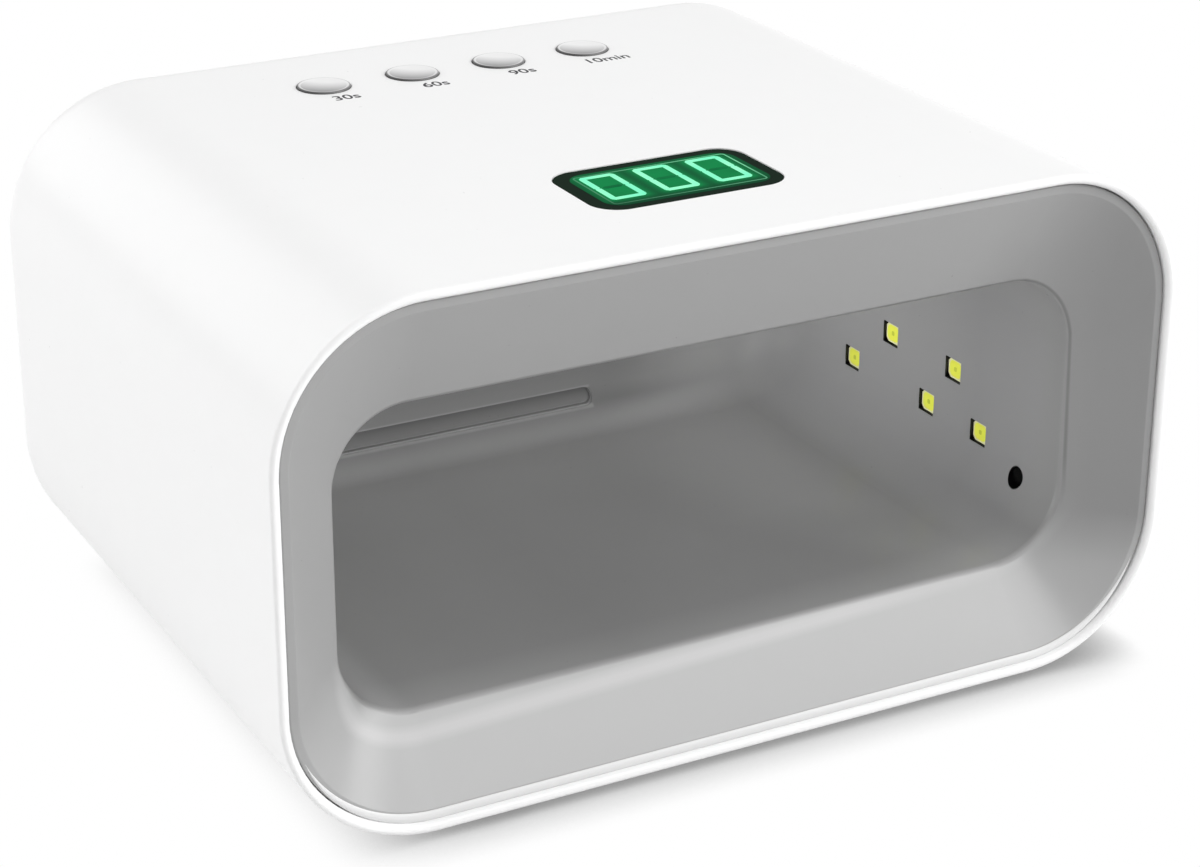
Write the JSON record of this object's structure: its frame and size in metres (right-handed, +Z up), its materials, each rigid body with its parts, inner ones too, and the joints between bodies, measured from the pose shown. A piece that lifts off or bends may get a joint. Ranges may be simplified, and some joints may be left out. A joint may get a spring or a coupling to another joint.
{
  "type": "gel nail lamp",
  "caption": "Free-standing nail curing lamp: rounded white casing around a grey flared hand cavity, with round timer buttons and a digit display on top.",
  "frame": {"origin": "centre of the lamp's footprint, on the surface that its feet stand on", "axes": "+Z up, -Y out of the hand opening towards the user, +X to the right as seen from the front"},
  "size_m": [0.21, 0.166, 0.1169],
  "materials": {
    "white_shell": "glossy moulded white",
    "grey_liner": "satin moulded grey",
    "white_cover": "fine matt white",
    "screw_steel": "zinc plated",
    "foot_rubber": "matt",
    "green_board": "solder mask",
    "dark_lens": "polished, tinted",
    "black_plastic": "fine matt",
    "lit_segments": "lit",
    "capacitor_can": "satin",
    "led_board": "white solder mask",
    "led_yellow": "clear resin over phosphor",
    "infrared_black": "polished",
    "contact_metal": "nickel plated",
    "plug_white": "natural nylon",
    "lead_grey": "smooth",
    "lead_black": "smooth",
    "ribbon_grey": "smooth",
    "silver_button": "satin silver paint",
    "switch_black": "matt",
    "plunger_dark": "matt"
  },
  "bodies": {
    "lamp_body": {"outer_shell": "white_shell", "inner_liner": "grey_liner", "base_cover": "white_cover", "base_screws": "screw_steel", "rubber_feet": "foot_rubber", "control_board": "green_board", "button_board": "green_board", "board_screws": "screw_steel", "display_lens": "dark_lens", "display_module": "black_plastic", "digit_segments": "lit_segments", "controller_chip": "black_plastic", "driver_transistors": "black_plastic", "filter_capacitor": "capacitor_can", "led_board_left": "led_board", "led_board_right": "led_board", "led_board_top": "led_board", "leds_left": "led_yellow", "leds_right": "led_yellow", "leds_top": "led_yellow", "infrared_emitter": "infrared_black", "infrared_receiver": "infrared_black", "dc_jack": "black_plastic", "dc_jack_pin": "contact_metal", "dc_jack_nut": "contact_metal", "dc_jack_tabs": "contact_metal", "plug_housings": "plug_white", "led_lead_left": "lead_grey", "led_lead_right": "lead_grey", "led_lead_top": "lead_grey", "power_lead": "lead_black", "button_ribbon": "ribbon_grey", "tact_switch_1": "switch_black", "tact_switch_2": "switch_black", "tact_switch_3": "switch_black", "tact_switch_4": "switch_black"},
    "button_30s_body": {"button_30s": "silver_button", "switch_plunger_1": "plunger_dark"},
    "button_60s_body": {"button_60s": "silver_button", "switch_plunger_2": "plunger_dark"},
    "button_90s_body": {"button_90s": "silver_button", "switch_plunger_3": "plunger_dark"},
    "button_10min_body": {"button_10min": "silver_button", "switch_plunger_4": "plunger_dark"}
  },
  "joints": [
    {"name": "press_30s", "type": "slide", "parent": "lamp_body", "child": "button_30s_body", "axis": [0, 0, -1], "range_m": [0, 0.0006], "stiffness_N_per_m": 1200, "springref_m": -0.0005},
    {"name": "press_60s", "type": "slide", "parent": "lamp_body", "child": "button_60s_body", "axis": [0, 0, -1], "range_m": [0, 0.0006], "stiffness_N_per_m": 1200, "springref_m": -0.0005},
    {"name": "press_90s", "type": "slide", "parent": "lamp_body", "child": "button_90s_body", "axis": [0, 0, -1], "range_m": [0, 0.0006], "stiffness_N_per_m": 1200, "springref_m": -0.0005},
    {"name": "press_10min", "type": "slide", "parent": "lamp_body", "child": "button_10min_body", "axis": [0, 0, -1], "range_m": [0, 0.0006], "stiffness_N_per_m": 1200, "springref_m": -0.0005}
  ]
}
